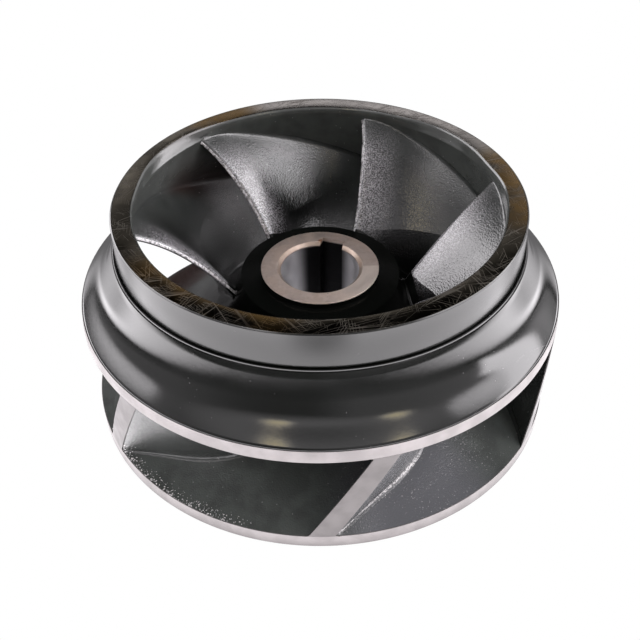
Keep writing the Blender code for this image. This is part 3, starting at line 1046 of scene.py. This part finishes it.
def cast_shade(finish, colour, inner, outside):
    """The mottled colour of a cast coat; towards the hub it takes the colour times the inner factor, which is
    painted shade where that factor is below 1.0; one sector is painted lighter, which is painted light; and
    one sector is rusty.
    """
    shade = blend(finish.mottle(90.0, 3.0, *HALFWAY), colour, shaded(colour, 0.75))
    # Painted shade: towards the hub the coat takes its colour times the inner factor, 0.04 for the floor and
    # 0.06 for the vanes.
    shade = blend(outside, shaded(colour, inner), shade)
    # Painted light: one sector of the coat is painted lighter.
    painted_light = [part * more for part, more in zip(colour, PAINTED_LIGHT_GAIN)]
    shade = blend(finish.sectors(PAINTED_LIGHT_SECTOR) * outside, shade, painted_light)
    stain = finish.sectors(STAIN_SECTOR) * window(finish.radius, *STAIN_RADII)
    return blend(stain * 0.9, shade, RUST_COLOUR)


def cast_coat(name, colour, inner, sheen, grain, waves, refraction=COAT_REFRACTION, on_vane=False):
    """The black coat over rough cast iron: sand grain, low waves, small painted glints, chips on the back
    rim, and on a vane a pale line at its foot and a painted highlight band behind its leading edge.

    The first number of the sheen and of the grain is for the hub's side, the second for the outlet's side.
    """
    finish = Finish(name, refraction)
    outside = ranged(finish.radius, *SAND_RADII)
    shade = cast_shade(finish, colour, inner, outside)
    # The glints are painted glints: pale flecks in the colour.
    marks = strongest(glints(finish) * outside, rim_chips(finish))
    normal = finish.grained(70.0, 2.0, waves)
    if on_vane:
        # Painted highlight: a pale speckled band behind the leading edge.
        shade = blend(painted_highlight_band(finish), shade, HIGHLIGHT_BAND_COLOUR)
        marks = strongest(marks, rough_foot(finish))
        normal = bumped(swell(finish), SWELL, normal)
    roughness = finish.mottle(1300.0, 2.0, *MIDDLING, -0.03, 0.05)
    roughness = roughness + ranged(finish.radius, *SAND_RADII, *sheen)
    sand = noise(finish.place, 1250.0, 1.0) * ranged(finish.radius, *SAND_RADII, *grain)
    return finish.finished(blend(marks, shade, CHIP_AND_GLINT_COLOUR), roughness, bumped(sand, SAND_HEIGHT, normal))


def edge_highlight_coat():
    """A painted highlight on the leading edges of the vanes: the coat painted pale in beads."""
    finish = Finish("edge_highlight_coat")
    # Painted highlight: pale beads along the leading edge.
    beads = finish.mottle(800.0, 2.0, 0.36, 0.58, 0.25, 0.95)
    thin = finish.mottle(90.0, 1.0, 0.30, 0.55, 0.30, 1.0)
    roughness = ranged(beads, 0.0, 1.0, 0.14, 0.34)
    normal = finish.grained(1300.0, 2.0, 0.00003)
    return finish.finished(blend(beads * thin, COAT_COLOUR, EDGE_HIGHLIGHT_COLOUR), roughness, normal)


def ring_iron():
    """The bare top of the eye ring: dark polished iron with oxide tints, crossing scratches and a painted
    reflection, paler towards the back.
    """
    finish = Finish("ring_iron", METAL_REFRACTION, 1.0)
    place = finish.place
    tints = noise(place, 34.0, 4.0)
    brown = finish.sectors(*BROWN_SECTORS) * ranged(tints, 0.36, 0.56)
    fine = scratches(place, (8.0, 36.0, 64.0, 95.0, 128.0, 155.0), 0.0019, 0.032, (0.024, 0.006, 0.006), 0.18)
    long = scratches(place, (50.0, 118.0, 20.0), 0.0036, 0.014, (0.060, 0.012, 0.012), 0.17)
    lines = strongest(fine, long) * finish.mottle(28.0, 2.0, 0.35, 0.6, 0.35, 1.0)
    colour = layered(
        RING_DARK,
        (ranged(tints, 0.38, 0.62), RING_GREY),
        # Painted reflection: the cap is paler towards the back.
        (finish.sectors(REFLECTION_SECTOR), RING_REFLECTION),
        (brown, RING_BROWN),
        *[(ranged(finish.radius, *border), RING_BORDER_COLOUR) for border in RING_BORDER_RAMPS],
        (lines * 0.50, RING_LINE),
    )
    roughness = finish.mottle(75.0, 3.0, *MIDDLING, 0.12, 0.20) + brown * 0.08 + lines * 0.40
    normal = finish.grained(900.0, 2.0, 0.000003, bumped(lines * -1.0, 0.00003))
    return finish.finished(colour, roughness, normal)


def burr_place():
    """The corner where the keyway's far side meets the chamfer of the bore, on the hub face."""
    half = KEYWAY_WIDTH / 2.0
    away = math.sqrt((SHAFT_BORE_RADIUS + BORE_CHAMFER) ** 2 - half ** 2)
    along = Vector((math.cos(KEYWAY_AZIMUTH), math.sin(KEYWAY_AZIMUTH), 0.0))
    across = Vector((-along.y, along.x, 0.0))
    return along * away + across * half + Vector((0.0, 0.0, level_of(HUB_FACE_DEPTH)))


def in_bore(finish):
    """1.0 down the bore and the keyway, and the colour there: black painted shade, with highly reflective
    sectors where the reflections fall.
    """
    face = level_of(HUB_FACE_DEPTH)
    down = ranged(finish.level, face - 1.6 * BORE_CHAMFER, face - 0.9 * BORE_CHAMFER, 1.0, 0.0)
    down = down * (finish.radius < KEYWAY_FLOOR + KEYWAY_WIDTH / 4.0) * (finish.level > BORE_CHAMFER)
    # Painted shade down the bore, except in sectors left and right that are given a highly reflective colour.
    reflective = finish.sectors(*REFLECTIVE_SECTORS) * (finish.radius < SHAFT_BORE_RADIUS + BROKEN_EDGE)
    return down, blend(reflective, BORE_SHADE_COLOUR, BORE_REFLECTIVE_COLOUR)


def hub_iron():
    """Turned iron of the hub face and the bore, warm grey with small pits and one rusty burr, a painted
    highlight on the right side of the face and painted shade down the bore.
    """
    finish = Finish("hub_iron", METAL_REFRACTION, 1.0)
    stain = noise(finish.place, 160.0, 3.0)
    pits = flecks(finish.place, 0.0032, 0.00042, 0.35) * finish.sectors(PITTED_SECTOR)
    from_burr = vector_maths("DISTANCE", finish.place, burr_place())
    chamfer = window(finish.radius, SHAFT_BORE_RADIUS, SHAFT_BORE_RADIUS + BORE_CHAMFER, 0.0002)
    down, bore = in_bore(finish)
    colour = layered(
        HUB_WARM,
        (ranged(stain, *HALFWAY), HUB_DARK),
        (pits * 0.8, PIT_COLOUR),
        (ranged(from_burr, *BURR_RAMP), BURR_COLOUR),
        # Painted highlight: the face is lighter on its right side.
        (finish.sectors(HIGHLIGHT_SECTOR) * 0.7, HUB_HIGHLIGHT),
        (chamfer * 0.8, HUB_CHAMFER),
        (down, bore),
    )
    roughness = ranged(stain, *MIDDLING, 0.46, 0.60) - down * 0.06
    normal = bumped(pits * -1.0, 0.00015, bumped(finish.lathe_marks(0.0007), 0.00004))
    return finish.finished(colour, roughness, finish.grained(1400.0, 2.0, 0.00008, normal))


def turned_iron(name, brightness):
    """Bright turned iron of the rims and the vane ends, satin, with tool marks and small nicks; the vane ends
    take a darker copy, which is painted shade.
    """
    finish = Finish(name, METAL_REFRACTION, 1.0)
    stain = noise(finish.place, 110.0, 4.0)
    nicks = flecks(finish.place, 0.0060, 0.00055, 0.25)
    light = shaded(TURNED_COLOUR, brightness)
    colour = layered(light, (ranged(stain, *HALFWAY), shaded(light, 0.9)), (nicks * 0.6, NICK_COLOUR))
    normal = bumped(nicks * -1.0, 0.00010, bumped(finish.lathe_marks(0.0008), 0.00003))
    normal = finish.grained(1200.0, 2.0, 0.000015, normal)
    return finish.finished(colour, ranged(stain, *MIDDLING, 0.46, 0.54), normal)


def empty_tree(owner):
    owner.use_nodes = True
    owner.node_tree.nodes.clear()
    return owner.node_tree


def show(plain, output):
    """Wire a shader to its tree's output; the camera alone sees an even pale colour instead."""
    tree = plain.tree
    ray = add_node(tree, "ShaderNodeLightPath", "Is Camera Ray")
    even = add_node(tree, "ShaderNodeEmission", 0, {"Color": (*PALE, 1.0)})
    seen = add_node(tree, "ShaderNodeMixShader", 0, {0: ray, 1: plain, 2: even})
    tree.links.new(seen.socket, tree.nodes.new(output).inputs["Surface"])


def floor_glow(place):
    """Glow of the floor: strong away from the object, weak in front of it, beside, under and behind it."""
    distance = vector_maths("LENGTH", place)
    behind = split(place)[1] / distance
    from_shade = vector_maths("DISTANCE", place, SHADE_AHEAD_PLACE)
    beside = ranged(behind, *SIDE_SHADE_BEHIND_RAMP) * ranged(distance, *SIDE_SHADE_RAMP)
    glow = ranged(distance, *GLOW_RAMP) * ranged(distance, *FAR_RAMP)
    glow = glow * ranged(behind, *BEHIND_RAMP) * (1.0 - beside)
    glow = glow * ranged(from_shade, *SHADE_AHEAD_RAMP) * ranged(distance, *COVERED_RAMP)
    return glow + (distance < HUB_FACE_RADIUS) * ranged(distance, *BORE_GLOW_RAMP)


def make_floor():
    """A pale round floor that glows."""
    material = bpy.data.materials.new("pale_floor")
    tree = empty_tree(material)
    glow = floor_glow(add_node(tree, "ShaderNodeTexCoord", "Object"))
    inputs = {"Color": (*LIGHT_COLOUR, 1.0), "Strength": glow}
    show(add_node(tree, "ShaderNodeEmission", 0, inputs), "ShaderNodeOutputMaterial")
    shape = bmesh.new()
    bmesh.ops.create_circle(shape, cap_ends=True, radius=FLOOR_RADIUS, segments=FLOOR_SEGMENTS)
    floor = add_object("floor", mesh_of(shape, "floor"))
    floor.data.materials.append(material)


def soft_light(turn, height, light):
    """Radiance of one soft light between two turns and two heights."""
    first, last, low, high, radiance = light
    return window(turn, first, last, LIGHT_SOFTNESS) * window(height, low, high, LIGHT_SOFTNESS) * radiance


def lights(turn, aside, elevation):
    """Radiance of all soft lights; the lower edges of the right, left and side lights slope."""
    lowest = ranged(turn, *EDGE_RAMP)
    height = elevation - strongest(QUARTER - aside, lowest) * EDGE_SLOPE
    side_height = elevation - (turn - SIDE_TURN) * SIDE_SLOPE
    top = ranged(elevation, *TOP_RISE_RAMP) * ranged(elevation, *TOP_FALL_RAMP)
    top = top * window(turn, *TOP_TURNS, 2.0 * LIGHT_SOFTNESS) * TOP_LIGHT
    placed = ((height, RIGHT_LIGHT), (height, LEFT_LIGHT), (elevation, HIGH_LIGHT), (side_height, SIDE_LIGHT))
    return strongest(top, *[soft_light(turn, above, light) for above, light in placed])


def walls(turn, aside, elevation):
    """Radiance of the dim walls, brighter to the sides and high up behind, darker at the foot."""
    right = WALL_AHEAD
    for ramp in WALL_RIGHT_RAMPS:
        right = ranged(turn, *ramp) + right
    wall = strongest(right, ranged(turn, *WALL_LEFT_RAMP))
    turned_away = ranged(aside, *TURNED_AWAY_RAMP)
    wall = wall * (1.0 - turned_away) + ranged(elevation, *WALL_BEHIND_RAMP) * turned_away
    return wall * ranged(elevation, *WALL_FOOT_RAMP)


def blackness(aside, elevation):
    """The share of the light that is taken away, high up behind the object and overhead."""
    past = maths("MINIMUM", maths("MAXIMUM", aside - BLACK_TURN, 0.0), BLACK_REACH)
    black = ranged(elevation + past * BLACK_SLOPE, *BLACK_RAMP)
    black = black * ranged(aside, BLACK_TURN - BLACK_SOFTNESS, BLACK_TURN + BLACK_SOFTNESS)
    return strongest(black, ranged(elevation, *OVERHEAD_RAMP))


def lamp(towards, turn, elevation):
    """1.0 inside a small oval lamp in the direction of a turn and an elevation in degrees."""
    aside = math.radians(turn)
    up = math.radians(elevation)
    centre = Vector((math.sin(aside) * math.cos(up), -math.cos(aside) * math.cos(up), math.sin(up)))
    level = Vector((math.cos(aside), math.sin(aside), 0.0))
    offset = vector_maths("SUBTRACT", towards, centre)
    sideways = vector_maths("DOT_PRODUCT", offset, level) / LAMP_WIDTH
    upwards = vector_maths("DOT_PRODUCT", offset, centre.cross(level))
    away = maths("SQRT", maths("POWER", sideways, 2.0) + maths("POWER", upwards, 2.0))
    in_front = vector_maths("DOT_PRODUCT", towards, centre) > 0.0
    return ranged(maths("DEGREES", away), *LAMP_RAMP) * in_front


def make_world():
    """Soft lights and two small lamps over dim walls."""
    world = bpy.data.worlds.new("studio")
    tree = empty_tree(world)
    towards = add_node(tree, "ShaderNodeTexCoord", "Generated")
    across, ahead, up = split(towards)
    turn = maths("DEGREES", maths("ARCTAN2", across, ahead * -1.0))
    aside = maths("ABSOLUTE", turn)
    elevation = maths("DEGREES", maths("ARCSINE", up))
    radiance = strongest(walls(turn, aside, elevation), lights(turn, aside, elevation))
    radiance = radiance * (1.0 - blackness(aside, elevation))
    lamps = strongest(*[lamp(towards, *place) for place in LAMPS])
    colour = blend(maths("MINIMUM", lamps, 1.0), LIGHT_COLOUR, LAMP_COLOUR)
    inputs = {"Color": colour, "Strength": radiance + lamps * LAMP_RADIANCE}
    show(add_node(tree, "ShaderNodeBackground", 0, inputs), "ShaderNodeOutputWorld")
    bpy.context.scene.world = world
    bpy.context.scene.view_settings.view_transform = "Standard"


coat = smooth_coat()
# The number after the colour of a cast coat is its inner factor; below 1.0 it darkens the coat towards the
# hub as painted shade.
throat_coat = cast_coat("throat_coat", THROAT_COLOUR, 1.0, (0.13, 0.16), (0.020, 0.030), 0.00010)
floor_coat = cast_coat("floor_coat", FLOOR_COLOUR, 0.04, (0.13, 0.17), (0.006, 0.120), 0.00008)
# Painted shade: nearly black coats for the well round the hub and the vane roots, reflecting less the nearer
# they lie to the hub or the root.
well_shade_coats = []
for number, refraction in enumerate(WELL_REFRACTIONS, 1):
    name = f"well_coat_{number}"
    well_shade_coats.append(cast_coat(name, WELL_SHADE_COLOUR, 1.0, (0.13, 0.22), (0.080, 0.120), 0.00005, refraction))
vane_look = ((0.09, 0.22), (0.120, 0.180), 0.00004, VANE_REFRACTION)
vane_coat = cast_coat("vane_coat", VANE_COLOUR, 0.06, *vane_look, on_vane=True)
bright_iron = turned_iron("turned_iron", 1.0)
# Painted shade: a darker copy of the turned iron for the vane ends.
shaded_land_iron = turned_iron("shaded_land_iron", LAND_SHADE)
make_camera()
make_floor()
make_world()
make_ring_cap(ring_iron())
make_ring_wall(ring_coat())
make_front_shell(coat, throat_coat)
make_front_rim_band(bright_iron)
make_back_rim_band(bright_iron)
make_back_shell(floor_coat, well_shade_coats)
make_hub_sleeve(hub_iron())
make_vanes(vane_coat, edge_highlight_coat(), well_shade_coats, shaded_land_iron)
